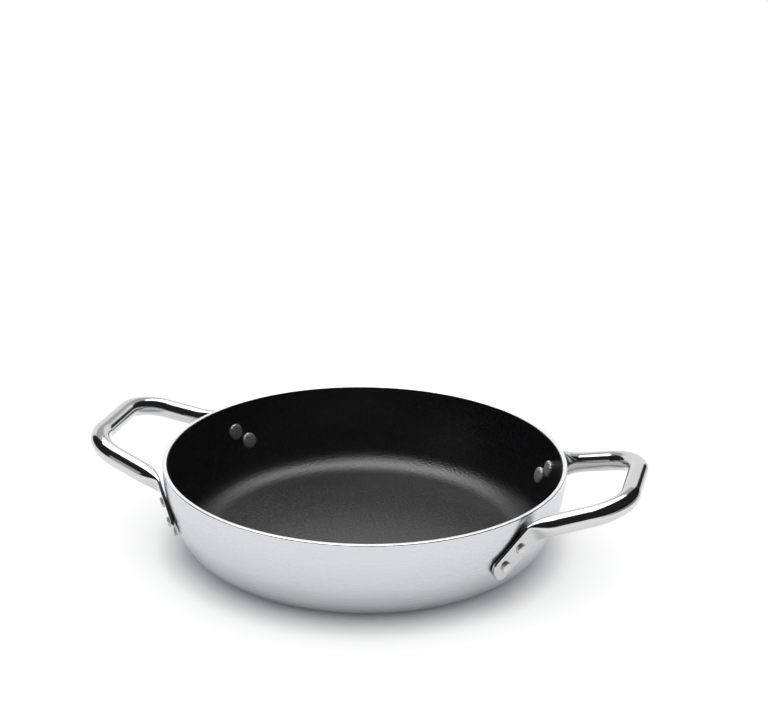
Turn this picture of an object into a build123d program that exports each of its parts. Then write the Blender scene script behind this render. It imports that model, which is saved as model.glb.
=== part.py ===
from build123d import *
from math import asin, cos, degrees, pi, radians, sin, sqrt
import os

# A round pan with two loop handles, in millimetres. +Z is up, and the origin is the middle of
# the flat base, on the surface that the pan stands on. The handles lie along +X and -X.

# Pan: a pressed aluminium bowl. Its side is one large arc, upright at the rim, that runs into
# a smaller arc round the flat base.
rim_radius = 140.0
pan_height = 62.0
side_arc_radius = 107.0
corner_arc_radius = 27.0
wall_thickness = 3.0
rim_edge_bevel = 0.6

# Non-stick coating on the inside, drawn thicker than the real film so that it is a solid.
coating_thickness = 0.2
coating_below_rim = 0.7
coating_clearance = 0.02

# Handle: a steel tube bent into a loop, with its ends pressed flat to lie on the wall.
tube_diameter = 14.0
tube_wall = 1.2
bar_beyond_rim = 47.0
bar_above_rim = 4.5
leg_spacing_at_bar = 84.4
loop_bend_radius = 29.6

# Flat end of a leg. Its middle touches the wall this far round from the handle's centre plane
# and this far below the rim, and it leans away from the loop as it goes down.
strap_turn = 30.6
strap_below_rim = 26.1
strap_lean = 49.0
strap_above_middle = 23.4
strap_below_middle = 17.3
strap_end_radius = 8.0
strap_wall_clearance = 0.03

# The two pressed layers show as a fine slit in the cut end of the tube.
slit_thickness = 0.3
slit_depth = 4.0

# Neck: between these distances from the bend the flat end opens into the round tube, which it
# enters a hair smaller. Its last section is a slot with sides this long, almost a circle.
neck_before_bend = 5.0
neck_after_bend = 15.0
neck_into_tube = 1.0
neck_section_count = 5
neck_last_side = 0.04
neck_undersize = 0.08

# Rivet: a low head with a bevelled edge inside the pan, a shank, and a short upset tail outside.
rivet_pitch = 15.3
shank_diameter = 5.6
shank_clearance = 0.1
head_diameter = 12.0
head_height = 1.9
head_bevel_height = 1.1
head_bevel_width = 2.2
tail_diameter = 7.2
tail_height = 1.9
tail_bevel = 0.5
seat_clearance = 0.02

# Sizes that follow from the ones above.
arc_reach = side_arc_radius - corner_arc_radius
arc_drop = pan_height - corner_arc_radius
side_centre_radius = rim_radius - side_arc_radius
base_radius = side_centre_radius + sqrt(arc_reach**2 - arc_drop**2)
arc_join_angle = degrees(asin(arc_drop / arc_reach))
coating_seat = wall_thickness + coating_clearance
lining_inset = coating_seat + coating_thickness
hole_radius = (shank_diameter + shank_clearance) / 2
tube_radius = tube_diameter / 2
# Pressed flat, the tube is two walls thick and keeps its girth.
strap_thickness = 2 * tube_wall
strap_width = strap_thickness + pi * (tube_diameter - strap_thickness) / 2
seat_height = strap_thickness + seat_clearance
lining_radius = side_arc_radius - lining_inset
# A flat head on the hollow wall rests on its edge, with this much room under its middle.
head_seat_gap = (head_diameter / 2) ** 2 / (2 * lining_radius) + seat_clearance
neck_end_thickness = tube_diameter - neck_undersize
flat_girth = 2 * (strap_width - strap_thickness) + pi * strap_thickness
round_girth = 2 * neck_last_side + pi * neck_end_thickness


def bowl_line(inset, below_rim):
    """Base line, corner arc and side arc of the bowl, inset from its outside."""
    base = Line((0, inset), (base_radius, inset))
    corner = CenterArc(
        (base_radius, corner_arc_radius),
        corner_arc_radius - inset,
        -90,
        90 - arc_join_angle,
    )
    side_radius = side_arc_radius - inset
    top_angle = degrees(asin(below_rim / side_radius))
    side = CenterArc(
        (side_centre_radius, pan_height),
        side_radius,
        -arc_join_angle,
        arc_join_angle - top_angle,
    )
    return base, corner, side


def strap_plane(handle_turn, side):
    """Plane of a flat end, touching the wall: X runs down the strap, Z points out of the wall."""
    turn = radians(handle_turn + side * strap_turn)
    slope = asin(strap_below_rim / side_arc_radius)
    touch_radius = side_centre_radius + side_arc_radius * cos(slope)
    outwards = Vector(cos(turn), sin(turn), 0)
    away = Vector(-sin(turn), cos(turn), 0) * side
    up = Vector(0, 0, 1)
    normal = outwards * cos(slope) - up * sin(slope)
    up_wall = outwards * sin(slope) + up * cos(slope)
    lean = radians(strap_lean)
    touch = outwards * touch_radius + up * (pan_height - strap_below_rim)
    return Plane(
        origin=touch + normal * strap_wall_clearance,
        x_dir=away * sin(lean) - up_wall * cos(lean),
        z_dir=normal,
    )


def neck_section(share):
    """Width and thickness of the tube at a share of the way from its flat end to its round part."""
    opening = share**2 * (3 - 2 * share)
    thickness = strap_thickness + (neck_end_thickness - strap_thickness) * opening
    girth = flat_girth + (round_girth - flat_girth) * share
    return thickness + (girth - pi * thickness) / 2, thickness


def all_strap_planes():
    """The four flat ends: both legs of both handles."""
    return [strap_plane(turn, side) for turn in (0, 180) for side in (1, -1)]


def drill_rivet_holes():
    """Cuts a hole for each rivet through the wall of the part being built."""
    for plane in all_strap_planes():
        with BuildSketch(plane) as holes:
            with GridLocations(rivet_pitch, 0, 2, 1):
                Circle(hole_radius)
        depth = strap_thickness + 2 * lining_inset
        extrude(holes.sketch, amount=depth, both=True, mode=Mode.SUBTRACT)


os.makedirs("parts", exist_ok=True)

# Pan body
with BuildPart() as pan_body:
    with BuildSketch(Plane.XZ) as body_section:
        with BuildLine():
            outer = bowl_line(0, 0)
            inner = bowl_line(wall_thickness, 0)
            Line(outer[0] @ 0, inner[0] @ 0)
            Line(outer[2] @ 1, inner[2] @ 1)
        make_face()
        chamfer(body_section.vertices().group_by(Axis.Y)[-1], rim_edge_bevel)
    revolve(axis=Axis.Z)
    drill_rivet_holes()

# Non-stick coating on the inside of the body, up to just below the bare rim
with BuildPart() as nonstick_coating:
    with BuildSketch(Plane.XZ):
        with BuildLine():
            outer = bowl_line(coating_seat, coating_below_rim)
            inner = bowl_line(lining_inset, coating_below_rim)
            Line(outer[0] @ 0, inner[0] @ 0)
            Line(outer[2] @ 1, inner[2] @ 1)
        make_face()
    revolve(axis=Axis.Z)
    drill_rivet_holes()

# Right handle: the round loop, then a neck and a flat riveted end at each leg
bar_middle = Vector(rim_radius + bar_beyond_rim, 0, pan_height + bar_above_rim)
across = Vector(0, leg_spacing_at_bar / 2, 0)
legs = []
for side in (1, -1):
    plane = strap_plane(0, side)
    bend = plane.from_local_coords(Vector(-strap_above_middle, 0, strap_thickness / 2))
    corner_point = bar_middle + across * side
    leg_direction = (corner_point - bend).normalized()
    legs.append((plane, bend, corner_point, bend + leg_direction * neck_after_bend))

with BuildPart() as handle_right:
    with BuildLine() as loop:
        FilletPolyline(legs[0][3], legs[0][2], legs[1][2], legs[1][3], radius=loop_bend_radius)
    with BuildSketch(Plane(origin=loop.line @ 0, z_dir=loop.line % 0)):
        Circle(tube_radius)
        Circle(tube_radius - tube_wall, mode=Mode.SUBTRACT)
    sweep(path=loop.line)
    for plane, bend, corner_point, tube_start in legs:
        strap_start = bend + plane.x_dir * neck_before_bend
        # Flat strap with round folded edges and a rounded lower end
        strap_length = strap_above_middle + strap_below_middle - neck_before_bend
        with BuildSketch(Plane(origin=strap_start, x_dir=plane.y_dir, z_dir=plane.x_dir)):
            SlotOverall(strap_width, strap_thickness)
        extrude(amount=strap_length)
        end_centre = strap_below_middle - strap_end_radius
        corner_offset = strap_width - 2 * strap_end_radius
        with BuildSketch(plane):
            with Locations((end_centre + strap_end_radius / 2, 0)):
                Rectangle(strap_end_radius, strap_width)
            with Locations((end_centre, 0)):
                with GridLocations(0, corner_offset, 1, 2):
                    Circle(strap_end_radius, mode=Mode.SUBTRACT)
            with Locations((end_centre + strap_end_radius / 2, 0)):
                Rectangle(strap_end_radius, corner_offset, mode=Mode.SUBTRACT)
        extrude(amount=2 * strap_thickness, both=True, mode=Mode.SUBTRACT)
        # Neck: slots of growing thickness round the bend
        neck_line = Bezier(strap_start, bend, tube_start, mode=Mode.PRIVATE)
        for step in range(neck_section_count):
            share = step / (neck_section_count - 1)
            section_plane = Plane(
                origin=neck_line @ share, x_dir=plane.y_dir, z_dir=neck_line % share
            )
            with BuildSketch(section_plane):
                SlotOverall(*neck_section(share))
        loft()
        with BuildSketch(section_plane):
            SlotOverall(*neck_section(1))
        extrude(amount=neck_into_tube)
        # Rivet holes and the slit between the pressed layers
        with BuildSketch(plane):
            with GridLocations(rivet_pitch, 0, 2, 1):
                Circle(hole_radius)
        extrude(amount=2 * strap_thickness, both=True, mode=Mode.SUBTRACT)
        slit_plane = plane.offset(strap_thickness / 2)
        with BuildSketch(slit_plane):
            with Locations((strap_below_middle - slit_depth / 2, 0)):
                Rectangle(slit_depth, strap_width - 2 * tube_wall)
        extrude(amount=slit_thickness / 2, both=True, mode=Mode.SUBTRACT)

# Left handle: the same piece turned half a turn about the pan's axis
with BuildPart() as handle_left:
    add(handle_right.part.rotate(Axis.Z, 180))

for part, name in (
    (pan_body, "pan_body"),
    (nonstick_coating, "nonstick_coating"),
    (handle_right, "handle_right"),
    (handle_left, "handle_left"),
):
    part.part.label = name
    export_step(part.part, f"parts/{name}.step")

# Rivets: two through each flat end, named by handle, side and place. The shank and tail stand
# square to the flat end, and the head lies on the wall at its own place.
for handle_turn, handle_name in ((0, "right"), (180, "left")):
    for side in (1, -1):
        plane = strap_plane(handle_turn, side)
        side_name = "rear" if plane.origin.Y > 0 else "front"
        for place, place_name in ((-1, "upper"), (1, "lower")):
            middle = plane.from_local_coords(Vector(place * rivet_pitch / 2, 0, 0))
            shank_plane = Plane(origin=middle, x_dir=plane.x_dir, z_dir=plane.z_dir)
            outwards = Vector(middle.X, middle.Y, 0).normalized()
            arc_centre = outwards * side_centre_radius + Vector(0, 0, pan_height)
            inwards = (arc_centre - middle).normalized()
            seat_point = arc_centre - inwards * (lining_radius - head_seat_gap)
            head_plane = Plane(origin=seat_point, x_dir=plane.y_dir, z_dir=inwards)
            with BuildPart() as rivet:
                with BuildSketch(head_plane):
                    Circle(head_diameter / 2)
                extrude(amount=head_height)
                head_top = rivet.faces().sort_by(Axis(seat_point, inwards))[-1]
                chamfer(head_top.edges(), head_bevel_height, head_bevel_width)
                with BuildSketch(shank_plane.offset(seat_height)):
                    Circle(shank_diameter / 2)
                extrude(amount=-seat_height - lining_inset - head_height / 2)
                with BuildSketch(shank_plane.offset(seat_height)):
                    Circle(tail_diameter / 2)
                extrude(amount=tail_height)
                tail_top = rivet.faces().sort_by(Axis(middle, plane.z_dir))[-1]
                chamfer(tail_top.edges(), tail_bevel)
            name = f"rivet_{handle_name}_{side_name}_{place_name}"
            rivet.part.label = name
            export_step(rivet.part, f"parts/{name}.step")
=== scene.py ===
from math import asin, cos, pi, radians, sin, sqrt, tan

import bpy
import numpy as np
from mathutils import Matrix, Vector


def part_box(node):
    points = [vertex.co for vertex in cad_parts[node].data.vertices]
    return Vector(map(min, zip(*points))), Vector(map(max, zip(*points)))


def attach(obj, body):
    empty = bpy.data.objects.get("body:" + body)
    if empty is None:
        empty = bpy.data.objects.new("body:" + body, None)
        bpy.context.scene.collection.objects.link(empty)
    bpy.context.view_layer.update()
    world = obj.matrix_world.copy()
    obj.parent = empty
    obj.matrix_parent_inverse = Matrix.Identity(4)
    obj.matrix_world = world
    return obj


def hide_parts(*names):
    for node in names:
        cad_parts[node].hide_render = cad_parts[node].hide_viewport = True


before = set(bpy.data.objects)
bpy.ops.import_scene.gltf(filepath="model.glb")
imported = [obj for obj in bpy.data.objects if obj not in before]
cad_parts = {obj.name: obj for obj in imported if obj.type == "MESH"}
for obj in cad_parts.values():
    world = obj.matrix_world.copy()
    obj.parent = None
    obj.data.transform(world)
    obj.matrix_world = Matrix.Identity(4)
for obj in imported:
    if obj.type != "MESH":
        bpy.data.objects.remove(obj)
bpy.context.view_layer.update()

# A round non-stick pan with two riveted loop handles, in metres. The handles lie along +X and -X.
MM = 0.001

# Pan: the rim's size comes from the frame. The side is one large arc that runs into a smaller
# arc round the flat base.
rim_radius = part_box("pan_body")[1].x
pan_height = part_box("pan_body")[1].z
side_arc_radius = 107 * MM
corner_arc_radius = 27 * MM
wall_thickness = 3 * MM
rim_outer_round = 0.8 * MM
rim_inner_round = 0.5 * MM
coating_clearance = 0.02 * MM
coating_thickness = 0.2 * MM
coating_below_rim = 0.7 * MM

# Handle: a round tube bent into a loop, with its two ends pressed flat. Pressed flat, the tube
# is two walls thick and keeps its girth.
tube_diameter = 14 * MM
tube_wall = 1.2 * MM
bar_beyond_rim = 47 * MM
bar_above_rim = 4.5 * MM
leg_spacing_at_bar = 84.4 * MM
loop_bend_radius = 29.6 * MM
strap_thickness = 2 * tube_wall
strap_width = strap_thickness + pi * (tube_diameter - strap_thickness) / 2
strap_turn = radians(30.6)
strap_below_rim = 26.1 * MM
strap_lean = radians(49)
strap_above_middle = 23.4 * MM
strap_below_middle = 17.3 * MM
strap_end_radius = 8 * MM
strap_wall_clearance = 0.03 * MM
strap_edge_break = 0.2 * MM
slit_thickness = 0.3 * MM
slit_depth = 4 * MM
neck_before_bend = 5 * MM
neck_after_bend = 15 * MM

# Rivet: a low rounded head inside the pan, and a short upset tail outside on the flat end.
rivet_pitch = 15.3 * MM
shank_diameter = 5.6 * MM
head_diameter = 12 * MM
head_height = 1.9 * MM
tail_diameter = 7.2 * MM
tail_height = 1.9 * MM
seat_clearance = 0.02 * MM

# Places that follow from these sizes.
side_centre_radius = rim_radius - side_arc_radius
arc_reach = side_arc_radius - corner_arc_radius
arc_drop = pan_height - corner_arc_radius
base_radius = side_centre_radius + sqrt(arc_reach**2 - arc_drop**2)
arc_join_angle = asin(arc_drop / arc_reach)
coating_seat = wall_thickness + coating_clearance
lining_inset = coating_seat + coating_thickness
lining_radius = side_arc_radius - lining_inset
strap_slope = asin(strap_below_rim / side_arc_radius)
# A flat head on the hollow wall rests on its edge, with this much room under its middle.
head_seat_gap = (head_diameter / 2)**2 / (2 * lining_radius) + seat_clearance

# Sizes of the finishes' patterns. The rings that buffing leaves are 0.1 mm apart and the
# sprayed grain is 0.3 mm: both are drawn coarser, the finest that shows.
buffing_spacing = 0.4 * MM
coating_grain = 1.3 * MM
polish_cloud = 5 * MM
rivet_grain = 1.7 * MM

# How finely the surfaces are divided.
turns = 288
outline_points = 96
base_rows = 40
corner_rows = 40
side_rows = 60
rivet_columns = 64
rivet_rows = 16

# Powers that give the rivet's head and tail their roundness: the smaller, the flatter.
head_round = 0.62
tail_round = 0.34

# Stage: the glow that the sweep is given near the pan, dimmed close to the pan into a painted
# contact shadow, and the distances over which the sweep turns into the plain white of the
# background.
floor_half = 4
floor_glow = 0.36
painted_shadow_reach = 28 * MM
white_from = 0.34
white_to = 0.55
room_fill = 0.6
sensor_width = 36

# Camera, at the photograph's place: it looks at the pan from 15 degrees to the right.
camera_place = Vector((0.2934, -1.0587, 0.5307))
camera_heading = radians(14.863)
camera_pitch = radians(19.568)
camera_roll = radians(0.889)
camera_lens = 80.42


# Meshes


def grid_piece(name, points, around, along):
    """A closed surface through a grid of points, rows along it and columns round it, the last
    column joined to the first. Each end row closes in a fan to its own middle. The UV map is
    the distance round and the distance along, in metres."""
    rows, columns = points.shape[:2]
    vertices = np.concatenate([points.reshape(-1, 3), points[[0, -1]].mean(axis=1)])
    row, column = np.meshgrid(np.arange(rows - 1), np.arange(columns), indexing="ij")
    after = (column + 1) % columns
    quads = np.stack(
        [row * columns + column, row * columns + after,
         (row + 1) * columns + after, (row + 1) * columns + column], axis=-1
    ).reshape(-1, 4)
    step = np.arange(columns)
    following = (step + 1) % columns
    last = (rows - 1) * columns
    first_fan = np.stack([np.full(columns, rows * columns), following, step], axis=-1)
    last_fan = np.stack(
        [np.full(columns, rows * columns + 1), last + step, last + following], axis=-1
    )
    mesh = bpy.data.meshes.new(name)
    mesh.from_pydata(
        vertices.tolist(), [], quads.tolist() + first_fan.tolist() + last_fan.tolist()
    )
    around = np.append(around, 2 * around[-1] - around[-2])
    u = np.stack([around[column], around[column + 1], around[column + 1], around[column]], -1)
    v = np.stack([along[row], along[row], along[row + 1], along[row + 1]], -1)
    fan_u = np.tile(around[:columns, None], (1, 3))
    places = np.concatenate([
        np.stack([u, v], -1).reshape(-1, 2),
        np.stack([fan_u, np.full((columns, 3), along[0])], -1).reshape(-1, 2),
        np.stack([fan_u, np.full((columns, 3), along[-1])], -1).reshape(-1, 2),
    ])
    uv = mesh.uv_layers.new(name="surface")
    uv.data.foreach_set("uv", places.astype(np.float32).ravel())
    mesh.shade_smooth()
    mesh.set_sharp_from_angle(angle=radians(40))
    mesh.update()
    piece = bpy.data.objects.new(name, mesh)
    bpy.context.scene.collection.objects.link(piece)
    return piece


def place_piece(piece, node, material):
    """Gives a finished piece its body and its material, and hides the node that it stands for."""
    piece.data.materials.append(material)
    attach(piece, "root")
    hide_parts(node)


def lathe(name, profile, columns=turns):
    """A profile of (radius, height) points carried once round the Z axis: a point at angle a
    stands at (radius cos a, radius sin a, height)."""
    angle = 2 * pi * np.arange(columns) / columns
    radius, height = profile[:, 0:1], profile[:, 1:2]
    points = np.stack(
        [radius * np.cos(angle), radius * np.sin(angle), height + 0 * angle], axis=-1
    )
    lengths = np.hypot(*np.diff(profile, axis=0).T)
    along = np.concatenate([[0], np.cumsum(lengths)])
    return grid_piece(name, points, angle * profile[:, 0].max(), along)


def arc_points(centre, radius, start, end, count):
    """Points on an arc round a centre, from one angle to another in equal steps."""
    angle = np.linspace(start, end, count)
    return np.stack(
        [centre[0] + radius * np.cos(angle), centre[1] + radius * np.sin(angle)], axis=-1
    )


def bowl_line(inset, below_rim):
    """The bowl's half outline from near its middle to below the rim, inset from its outside:
    a straight base, an arc round the corner, then the large arc of the side."""
    base_steps = np.linspace(0.004, 1, base_rows)[:, None]
    base = base_steps * [base_radius, 0] + [0, inset]
    corner = arc_points(
        (base_radius, corner_arc_radius), corner_arc_radius - inset,
        -pi / 2, -arc_join_angle, corner_rows,
    )
    top_angle = asin(below_rim / (side_arc_radius - inset))
    side = arc_points(
        (side_centre_radius, pan_height), side_arc_radius - inset,
        -arc_join_angle, -top_angle, side_rows,
    )
    return np.concatenate([base, corner[1:], side[1:]])


def pan_body_profile():
    """Outside of the bowl, a rim with two rounded edges and a flat top, then the inside."""
    outer_centre = (rim_radius - rim_outer_round, pan_height - rim_outer_round)
    inner_centre = (
        rim_radius - wall_thickness + rim_inner_round, pan_height - rim_inner_round
    )
    return np.concatenate([
        bowl_line(0, rim_outer_round)[:-1],
        arc_points(outer_centre, rim_outer_round, 0, pi / 2, 10),
        arc_points(inner_centre, rim_inner_round, pi / 2, pi, 8),
        bowl_line(wall_thickness, rim_inner_round)[::-1][1:],
    ])


def coating_profile():
    """The hidden side of the coating up to its edge, then back along its visible side."""
    return np.concatenate([
        bowl_line(coating_seat, coating_below_rim),
        bowl_line(lining_inset, coating_below_rim)[::-1],
    ])


def strap_frame(side):
    """Where a flat end touches the wall, with its directions: down the strap, across it and
    out of the wall. side is 1 for the leg towards +Y and -1 for the other."""
    turn = side * strap_turn
    outwards = np.array([cos(turn), sin(turn), 0])
    away = np.array([-sin(turn), cos(turn), 0]) * side
    up = np.array([0, 0, 1])
    out_of_wall = outwards * cos(strap_slope) - up * sin(strap_slope)
    up_wall = outwards * sin(strap_slope) + up * cos(strap_slope)
    down = away * sin(strap_lean) - up_wall * cos(strap_lean)
    touch_radius = side_centre_radius + side_arc_radius * cos(strap_slope)
    touch = outwards * touch_radius + up * (pan_height - strap_below_rim)
    touch = touch + out_of_wall * strap_wall_clearance
    return touch, down, np.cross(out_of_wall, down), out_of_wall


def slot_outline(width, thickness):
    """Points round a slot with round ends, in equal steps of its girth. Walking round it, the
    centre of the round moves along the flats, and the angle turns on the round edges."""
    flat = width - thickness
    quarter = pi * thickness / 4
    walk = (4 * quarter + 2 * flat) * np.arange(outline_points) / outline_points
    first = np.clip(walk - quarter, 0, flat)
    second = np.clip(walk - 3 * quarter - flat, 0, flat)
    angle = (walk - first - second) / (thickness / 2)
    x = flat / 2 - first + second + thickness / 2 * np.cos(angle)
    return np.stack([x, thickness / 2 * np.sin(angle)], axis=-1)


def strap_cut(across):
    """How far down the strap its rounded lower end reaches, at a distance from its middle."""
    corner_start = strap_width / 2 - strap_end_radius
    beyond = np.clip(np.abs(across) - corner_start, 0, strap_end_radius)
    return strap_below_middle - strap_end_radius + np.sqrt(strap_end_radius**2 - beyond**2)


def strap_end_rows():
    """Rows of the cut end in the strap's own directions: the bottom and the mouth of the slit
    between the two pressed layers, the cut face with a broken edge, and rows that change from
    the rounded cut to a straight line across the strap."""
    slit = slot_outline(strap_width - 2 * tube_wall, slit_thickness)
    broken = slot_outline(strap_width - 2 * strap_edge_break, strap_thickness - 2 * strap_edge_break)
    full = slot_outline(strap_width, strap_thickness)
    rounded_from = strap_below_middle - strap_end_radius - strap_thickness
    rows = [
        (strap_cut(slit[:, 0]) - slit_depth, slit),
        (strap_cut(slit[:, 0]), slit),
        (strap_cut(broken[:, 0]), broken),
    ]
    for share in np.linspace(0, 1, 12):
        edge = strap_cut(full[:, 0]) - strap_edge_break
        rows.append((edge + (rounded_from - edge) * share, full))
    return [
        np.stack([reach, outline[:, 0], outline[:, 1] + strap_thickness / 2], axis=-1)
        for reach, outline in rows
    ]


def handle_points():
    """Grid of the handle's surface. From the cut end it follows the flat strap, a curved neck
    whose slot section opens into a circle of about the same girth, the straight leg, an arc
    and half the bar. The other half is its mirror image across the XZ plane."""
    touch, down, across, out = strap_frame(1)
    bend = touch - down * strap_above_middle + out * strap_thickness / 2
    corner = np.array([
        rim_radius + bar_beyond_rim, leg_spacing_at_bar / 2, pan_height + bar_above_rim
    ])
    leg = (corner - bend) / np.linalg.norm(corner - bend)
    strap_start = bend + down * neck_before_bend
    tube_start = bend + leg * neck_after_bend
    flat_girth = 2 * (strap_width - strap_thickness) + pi * strap_thickness
    round_girth = pi * tube_diameter
    frames = np.array([down, across, out])
    rows = [local @ frames + touch for local in strap_end_rows()]
    flat = slot_outline(strap_width, strap_thickness)
    from_end = strap_below_middle - strap_end_radius - strap_thickness
    to_neck = neck_before_bend - strap_above_middle
    for reach in np.linspace(from_end, to_neck, 14)[1:-1]:
        centre = touch + down * reach + out * strap_thickness / 2
        rows.append(centre + flat[:, 0:1] * across + flat[:, 1:2] * out)
    # The neck follows a curve with the strap's start, the bend and the tube's start as its
    # three control points.
    share = np.linspace(0, 1, 48)[:, None]
    path = (1 - share)**2 * strap_start + 2 * share * (1 - share) * bend + share**2 * tube_start
    tangent = (1 - share) * (bend - strap_start) + share * (tube_start - bend)
    opening = share[:, 0]**2 * (3 - 2 * share[:, 0])
    thickness = strap_thickness + (tube_diameter - strap_thickness) * opening
    girth = flat_girth + (round_girth - flat_girth) * share[:, 0]
    width = thickness + (girth - pi * thickness) / 2
    # The leg and the bar are joined by an arc that touches both.
    to_bar = np.array([0, -1, 0])
    turn = np.arccos(leg @ to_bar)
    tangent_length = loop_bend_radius * tan(turn / 2)
    sideways = (to_bar - leg * cos(turn)) / sin(turn)
    arc_centre = corner - leg * tangent_length + sideways * loop_bend_radius
    leg_steps = np.linspace(0, 1, 24)[1:-1, None]
    straight = tube_start + leg_steps * (corner - leg * tangent_length - tube_start)
    angle = np.linspace(0, turn, 40)[:, None]
    arc = arc_centre + loop_bend_radius * (leg * np.sin(angle) - sideways * np.cos(angle))
    arc_tangent = leg * np.cos(angle) + sideways * np.sin(angle)
    bar_end = corner + to_bar * tangent_length
    bar_steps = np.linspace(0, 1, 12)[1:, None]
    bar = bar_end + bar_steps * (bar_end * [1, 0, 1] - bar_end)
    path = np.concatenate([path, straight, arc, bar])
    tangent = np.concatenate([
        tangent, np.repeat(leg[None], len(straight), 0), arc_tangent,
        np.repeat(to_bar[None], len(bar), 0),
    ])
    tangent = tangent / np.linalg.norm(tangent, axis=1, keepdims=True)
    wide = across - (tangent @ across)[:, None] * tangent
    wide = wide / np.linalg.norm(wide, axis=1, keepdims=True)
    thick = np.cross(wide, tangent)
    thick = thick * np.sign(thick[0] @ out)
    round_rows = len(path) - len(width)
    width = np.concatenate([width, np.full(round_rows, tube_diameter + 1e-7)])
    thickness = np.concatenate([thickness, np.full(round_rows, tube_diameter)])
    for centre, x, y, w, t in zip(path, wide, thick, width, thickness):
        outline = slot_outline(w, t)
        rows.append(centre + outline[:, 0:1] * x + outline[:, 1:2] * y)
    half = np.array(rows)
    mirrored = half[::-1] * [1, -1, 1]
    return np.concatenate([half, mirrored[1:]])


def handle(name, direction):
    """A handle towards +X, or turned half a turn about the pan's axis towards -X. Each outline
    is walked backwards, so that the faces point outwards."""
    points = handle_points()[:, ::-1] * [direction, direction, 1]
    middle = points.mean(axis=1)
    along = np.concatenate([[0], np.cumsum(np.linalg.norm(np.diff(middle, axis=0), axis=1))])
    around = pi * tube_diameter * np.arange(outline_points) / outline_points
    return grid_piece(name, points, around, along)


def rivet_points(direction, side, place):
    """Grid of one rivet: circles about the head's axis, which follows the wall at the head,
    then circles about the shank's axis, square to the flat end. A circle's radius and height
    follow powers of a sine and a cosine, which gives a low head with a round edge."""
    touch, down, across, out = strap_frame(side)
    middle = touch + down * place * rivet_pitch / 2
    level = np.array([middle[0], middle[1], 0]) / np.hypot(middle[0], middle[1])
    arc_centre = level * side_centre_radius + np.array([0, 0, pan_height])
    inwards = (arc_centre - middle) / np.linalg.norm(arc_centre - middle)
    seat = arc_centre - inwards * (lining_radius - head_seat_gap)
    angle = 2 * pi * np.arange(rivet_columns) / rivet_columns
    quarter = np.linspace(0.02, pi / 2, rivet_rows)
    rows = []

    def circles(centre, axis, radius, height):
        x = np.cross(down, axis)
        x = x / np.linalg.norm(x)
        y = np.cross(axis, x)
        ring = np.cos(angle)[:, None] * x + np.sin(angle)[:, None] * y
        for r, h in zip(radius, height):
            rows.append(centre + axis * h + ring * r)

    circles(
        seat, -inwards,
        head_diameter / 2 * np.sin(quarter)**head_round,
        -head_height * np.cos(quarter)**head_round,
    )
    circles(seat, -inwards, [shank_diameter / 2], [0])
    circles(middle, out, [shank_diameter / 2], [strap_thickness + seat_clearance])
    circles(
        middle + out * (strap_thickness + seat_clearance), out,
        tail_diameter / 2 * np.sin(quarter[::-1])**tail_round,
        tail_height * np.cos(quarter[::-1])**tail_round,
    )
    return np.array(rows) * [direction, direction, 1]


def rivet(name, direction, side, place):
    """A rivet through a flat end: place is -1 for the upper one and 1 for the lower."""
    points = rivet_points(direction, side, place)
    around = shank_diameter * pi * np.arange(points.shape[1]) / points.shape[1]
    return grid_piece(name, points, around, np.arange(len(points)) * 0.2 * MM)


# Materials


def paint(code):
    """The linear colour of an sRGB hex value."""
    parts = [int(code[i:i + 2], 16) / 255 for i in (1, 3, 5)]
    linear = [p / 12.92 if p <= 0.04045 else ((p + 0.055) / 1.055)**2.4 for p in parts]
    return (*linear, 1)


def add(tree, kind, settings=None, **inputs):
    """Adds a node with its settings. Inputs are named by socket, with _ for a space, and are
    values or the outputs of other nodes."""
    node = tree.nodes.new("ShaderNode" + kind)
    for key, value in (settings or {}).items():
        setattr(node, key, value)
    for key, value in inputs.items():
        name = key.replace("_", " ").strip()
        socket = node.inputs[int(name)] if name.isdigit() else node.inputs[name]
        if isinstance(value, bpy.types.NodeSocket):
            tree.links.new(value, socket)
        else:
            socket.default_value = value
    return node


def start_material(name):
    """A new node material with only its output."""
    material = bpy.data.materials.new(name)
    material.use_nodes = True
    material.node_tree.nodes.clear()
    return material, material.node_tree


def end_material(tree, surface):
    """Joins a shader to the material's output."""
    output = tree.nodes.new("ShaderNodeOutputMaterial")
    tree.links.new(surface, output.inputs["Surface"])


def pan_aluminium():
    """Pressed aluminium, buffed on a spindle to a satin: fine rings that blur what it mirrors.
    The rim is turned last and left bare, and its colour is painted paler than the wall's: a painted
    highlight along the rim."""
    material, tree = start_material("pressed_aluminium_satin_buffed")
    place = add(tree, "TexCoord").outputs["Object"]
    height = add(tree, "SeparateXYZ", Vector=place).outputs["Z"]
    level = add(tree, "VectorMath", {"operation": "MULTIPLY"}, _0=place, _1=(1, 1, 0))
    radius = add(tree, "VectorMath", {"operation": "LENGTH"}, _0=level.outputs[0]).outputs["Value"]
    ring = add(tree, "CombineXYZ", X=radius, Y=height)
    buffing = add(
        tree, "TexNoise", Vector=ring.outputs[0], Scale=1 / buffing_spacing, Detail=2.0,
    )
    rough = add(
        tree, "MapRange", Value=buffing.outputs[0], From_Min=0.3, From_Max=0.7,
        To_Min=0.26, To_Max=0.28,
    )
    # The top band of the rim: turned and bare, and painted paler than the wall as a painted
    # highlight.
    turned = add(
        tree, "MapRange", Value=height, From_Min=pan_height - 0.9 * MM,
        From_Max=pan_height - 0.7 * MM,
    ).outputs[0]
    colour = add(
        tree, "MixRGB", Fac=turned, Color1=paint("#d0d2d7"), Color2=paint("#f5f5f6"),
    )
    relief = add(
        tree, "Bump", Height=buffing.outputs[0], Strength=0.04, Distance=0.01 * MM,
    )
    shader = add(
        tree, "BsdfPrincipled", Base_Color=colour.outputs[0], Metallic=1.0,
        Roughness=rough.outputs[0], Normal=relief.outputs[0],
    )
    end_material(tree, shader.outputs[0])
    return material


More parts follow.
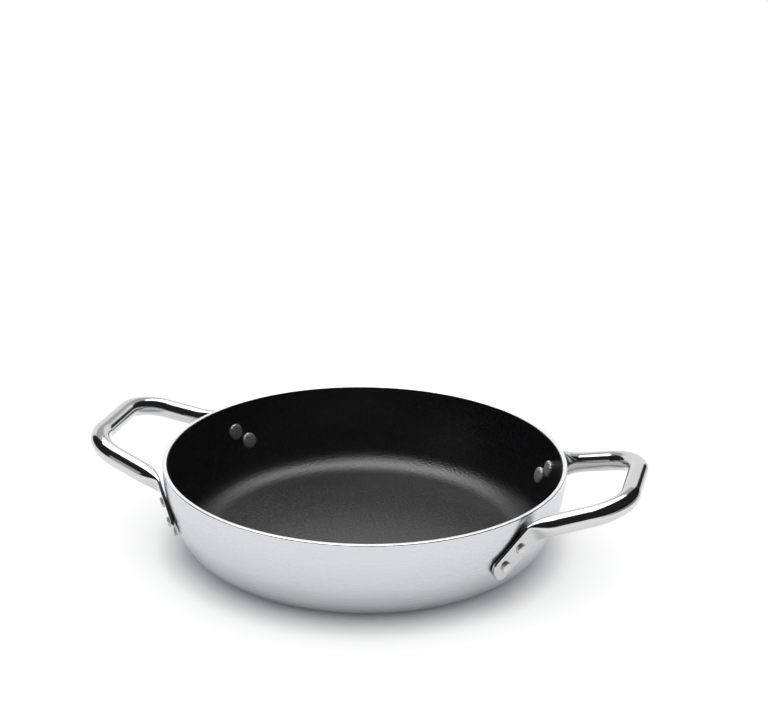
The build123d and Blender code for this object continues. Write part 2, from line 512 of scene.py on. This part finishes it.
def nonstick_coating():
    """Fluoropolymer coating, sprayed and cured: a black film with a low sheen, whose fine grain
    and paler flecks break up the light. Its IOR is matched to the shine in the photograph,
    which takes a value above that of the bare resin."""
    material, tree = start_material("sprayed_nonstick_coating")
    place = add(tree, "TexCoord").outputs["Object"]
    grain = add(tree, "TexNoise", Vector=place, Scale=1 / coating_grain, Detail=3.0)
    fleck = add(
        tree, "MapRange", Value=grain.outputs[0], From_Min=0.45, From_Max=0.72,
    )
    colour = add(
        tree, "MixRGB", Fac=fleck.outputs[0], Color1=paint("#09080b"), Color2=paint("#26252a"),
    )
    relief = add(tree, "Bump", Height=grain.outputs[0], Strength=1.0, Distance=0.3 * MM)
    shader = add(
        tree, "BsdfPrincipled", Base_Color=colour.outputs[0], Roughness=0.31, IOR=1.8,
        Normal=relief.outputs[0],
    )
    end_material(tree, shader.outputs[0])
    return material


def handle_steel():
    """Stainless steel tube, polished after bending: it mirrors the room nearly sharply."""
    material, tree = start_material("stainless_tube_polished")
    place = add(tree, "TexCoord").outputs["Object"]
    cloud = add(tree, "TexNoise", Vector=place, Scale=1 / polish_cloud, Detail=2.0)
    rough = add(tree, "MapRange", Value=cloud.outputs[0], To_Min=0.09, To_Max=0.14)
    shader = add(
        tree, "BsdfPrincipled", Base_Color=paint("#cfcfcf"), Metallic=1.0,
        Roughness=rough.outputs[0],
    )
    end_material(tree, shader.outputs[0])
    return material


def rivet_aluminium():
    """Solid aluminium rivets, set cold: the tool leaves a dull, slightly uneven face, which
    looks greyer than the pan."""
    material, tree = start_material("aluminium_rivet_satin")
    place = add(tree, "TexCoord").outputs["Object"]
    cloud = add(tree, "TexNoise", Vector=place, Scale=1 / rivet_grain, Detail=2.0)
    rough = add(tree, "MapRange", Value=cloud.outputs[0], To_Min=0.48, To_Max=0.62)
    relief = add(tree, "Bump", Height=cloud.outputs[0], Strength=1.0, Distance=0.8 * MM)
    shader = add(
        tree, "BsdfPrincipled", Base_Color=paint("#e6e6e8"), Metallic=1.0,
        Roughness=rough.outputs[0], Normal=relief.outputs[0],
    )
    end_material(tree, shader.outputs[0])
    return material


# Stage


def stage_sheet(name, points, material):
    """A sheet of the stage through a grid of points."""
    rows, columns = points.shape[:2]
    row, column = np.meshgrid(np.arange(rows - 1), np.arange(columns - 1), indexing="ij")
    first = row * columns + column
    quads = np.stack([first, first + 1, first + columns + 1, first + columns], axis=-1)
    mesh = bpy.data.meshes.new(name)
    mesh.from_pydata(points.reshape(-1, 3).tolist(), [], quads.reshape(-1, 4).tolist())
    mesh.materials.append(material)
    sheet = bpy.data.objects.new(name, mesh)
    bpy.context.scene.collection.objects.link(sheet)
    return sheet


def only_mirrored(sheet):
    """Lets a sheet show only in the pan's reflections."""
    sheet.visible_camera = False
    sheet.visible_diffuse = False
    sheet.visible_transmission = False
    sheet.visible_volume_scatter = False
    sheet.visible_shadow = False


def level_sheet(name, low, high, height, material):
    """A level sheet between two corners."""
    x, y = np.meshgrid([low[0], high[0]], [low[1], high[1]])
    return stage_sheet(name, np.stack([x, y, height + 0 * x], axis=-1), material)


def dome_part(name, distance, side_range, up_range, material):
    """A part of a dome round the pan: a point at side angle a and up angle b stands at
    distance times (cos b sin a, -cos b cos a, sin b), so a is 0 in front of the pan."""
    a, b = np.meshgrid(
        np.radians(np.linspace(*side_range, 61)), np.radians(np.linspace(*up_range, 25))
    )
    points = distance * np.stack([np.cos(b) * np.sin(a), -np.cos(b) * np.cos(a), np.sin(b)], -1)
    return stage_sheet(name, points, material)


def plain_glow(name, strength):
    """An even grey of the given strength, for a card or a drape."""
    material, tree = start_material(name)
    glow = add(tree, "Emission", Color=(1, 1, 1, 1), Strength=strength)
    end_material(tree, glow.outputs[0])
    return material


def background_rays(tree):
    """1 for the rays that show the background: the camera's, mirrored ones and those through
    glass."""
    light = add(tree, "LightPath")
    direct = add(
        tree, "Math", {"operation": "MAXIMUM"}, _0=light.outputs["Is Camera Ray"],
        _1=light.outputs["Is Glossy Ray"],
    )
    every = add(
        tree, "Math", {"operation": "MAXIMUM"}, _0=direct.outputs[0],
        _1=light.outputs["Is Transmission Ray"],
    )
    return every.outputs[0]


def white_floor():
    """White sweep: it takes the pan's shadow and has a little glow of its own, which ambient
    occlusion dims close to the pan into a painted contact shadow. Away from the pan it turns into
    the plain white of the background."""
    material, tree = start_material("white_sweep")
    place = add(tree, "TexCoord").outputs["Object"]
    distance = add(tree, "VectorMath", {"operation": "LENGTH"}, _0=place).outputs["Value"]
    away = add(
        tree, "MapRange", {"interpolation_type": "SMOOTHSTEP"}, Value=distance,
        From_Min=white_from, From_Max=white_to,
    )
    matt = add(tree, "BsdfDiffuse", Color=paint("#f6f6f6"))
    # Painted contact shadow: the glow fades where ambient occlusion finds the pan within a short
    # reach.
    openness_for_painted_shadow = add(
        tree, "AmbientOcclusion", {"samples": 12}, Distance=painted_shadow_reach,
    ).outputs["AO"]
    strength = add(
        tree, "MapRange", Value=openness_for_painted_shadow, From_Min=0.36, From_Max=0.88, To_Max=floor_glow,
    )
    glow = add(tree, "Emission", Color=(1, 1, 1, 1), Strength=strength.outputs[0])
    near = add(tree, "AddShader", _0=matt.outputs[0], _1=glow.outputs[0])
    white = add(tree, "Emission", Color=(1, 1, 1, 1), Strength=1.0)
    seen = add(
        tree, "MixShader", Fac=away.outputs[0], _1=near.outputs[0], _2=white.outputs[0],
    )
    mix = add(
        tree, "MixShader", Fac=background_rays(tree), _1=matt.outputs[0], _2=seen.outputs[0],
    )
    end_material(tree, mix.outputs[0])
    return material


def set_world(fill):
    """White for the camera, in reflections and through glass, and a plainer fill for the rest."""
    world = bpy.data.worlds.new("studio")
    bpy.context.scene.world = world
    world.use_nodes = True
    tree = world.node_tree
    tree.nodes.clear()
    strength = add(tree, "MapRange", Value=background_rays(tree), To_Min=fill, To_Max=1.0)
    back = add(tree, "Background", Color=(1, 1, 1, 1), Strength=strength.outputs[0])
    output = tree.nodes.new("ShaderNodeOutputWorld")
    tree.links.new(back.outputs[0], output.inputs["Surface"])


def softbox(name, middle, width, depth, turn, brightness):
    """A level rectangular lamp that faces down, turned about the vertical. A lamp of brightness
    L and area A gives a power of pi L A."""
    lamp = bpy.data.lights.new(name, "AREA")
    lamp.shape = "RECTANGLE"
    lamp.size = width
    lamp.size_y = depth
    lamp.energy = pi * brightness * width * depth
    item = bpy.data.objects.new(name, lamp)
    bpy.context.scene.collection.objects.link(item)
    item.location = middle
    item.rotation_euler = (0, 0, turn)
    return item


def set_camera():
    """The camera: heading and pitch turn it from looking along +Y, after a small roll."""
    lens = bpy.data.cameras.new("camera")
    lens.lens = camera_lens
    lens.sensor_width = sensor_width
    lens.clip_start = 0.05
    lens.clip_end = 50
    camera = bpy.data.objects.new("camera", lens)
    bpy.context.scene.collection.objects.link(camera)
    camera.matrix_world = (
        Matrix.Translation(camera_place)
        @ Matrix.Rotation(camera_heading, 4, "Z")
        @ Matrix.Rotation(pi / 2 - camera_pitch, 4, "X")
        @ Matrix.Rotation(camera_roll, 4, "Z")
    )
    bpy.context.scene.camera = camera


# Assembly

aluminium = pan_aluminium()
coating = nonstick_coating()
steel = handle_steel()
rivet_metal = rivet_aluminium()

body = lathe("pan_body_surface", pan_body_profile())
place_piece(body, "pan_body", aluminium)
lining = lathe("nonstick_coating_surface", coating_profile())
place_piece(lining, "nonstick_coating", coating)

for hand, direction in (("right", 1), ("left", -1)):
    piece = handle(f"handle_{hand}_surface", direction)
    place_piece(piece, f"handle_{hand}", steel)
    for side in (1, -1):
        depth = "rear" if side * direction > 0 else "front"
        for level, place in (("upper", -1), ("lower", 1)):
            node = f"rivet_{hand}_{depth}_{level}"
            piece = rivet(f"{node}_surface", direction, side, place)
            place_piece(piece, node, rivet_metal)

level_sheet("floor", (-floor_half, -floor_half), (floor_half, floor_half), 0, white_floor())
# The room that the polished tube mirrors: dark on the camera's side and to the right, white
# low behind the pan and dimmer above that, a grey card at the left front, and a dark floor
# beyond the sweep's right end. Distances are in metres and side and up ranges in degrees.
black = plain_glow("black_drape", 0.02)
dim = plain_glow("dim_backdrop", 0.5)
grey = plain_glow("grey_card", 0.5)
only_mirrored(dome_part("black_drape", 2.2, (-115, 158), (3, 90), black))
only_mirrored(dome_part("upper_backdrop", 2.3, (158, 245), (31, 90), dim))
only_mirrored(dome_part("grey_card", 1.2, (-48, -37), (-2, 24), grey))
only_mirrored(level_sheet("dark_floor", (0.6, -0.7), (2.3, 1.4), 1 * MM, black))
set_world(room_fill)
# One lamp is only mirrored, and the other only lights matt surfaces, so that each can have the
# place that its effect in the photograph shows.
mirrored_lamp = softbox("mirrored_softbox", (-0.22, 0.46, 1.2), 1.1, 1.3, radians(-25), 3.2)
mirrored_lamp.visible_diffuse = False
room_lamp = softbox("room_softbox", (-0.03, 0.15, 1.3), 2.4, 2.4, 0, 0.5)
room_lamp.visible_glossy = False
set_camera()

scene = bpy.context.scene
scene.view_settings.view_transform = "Standard"
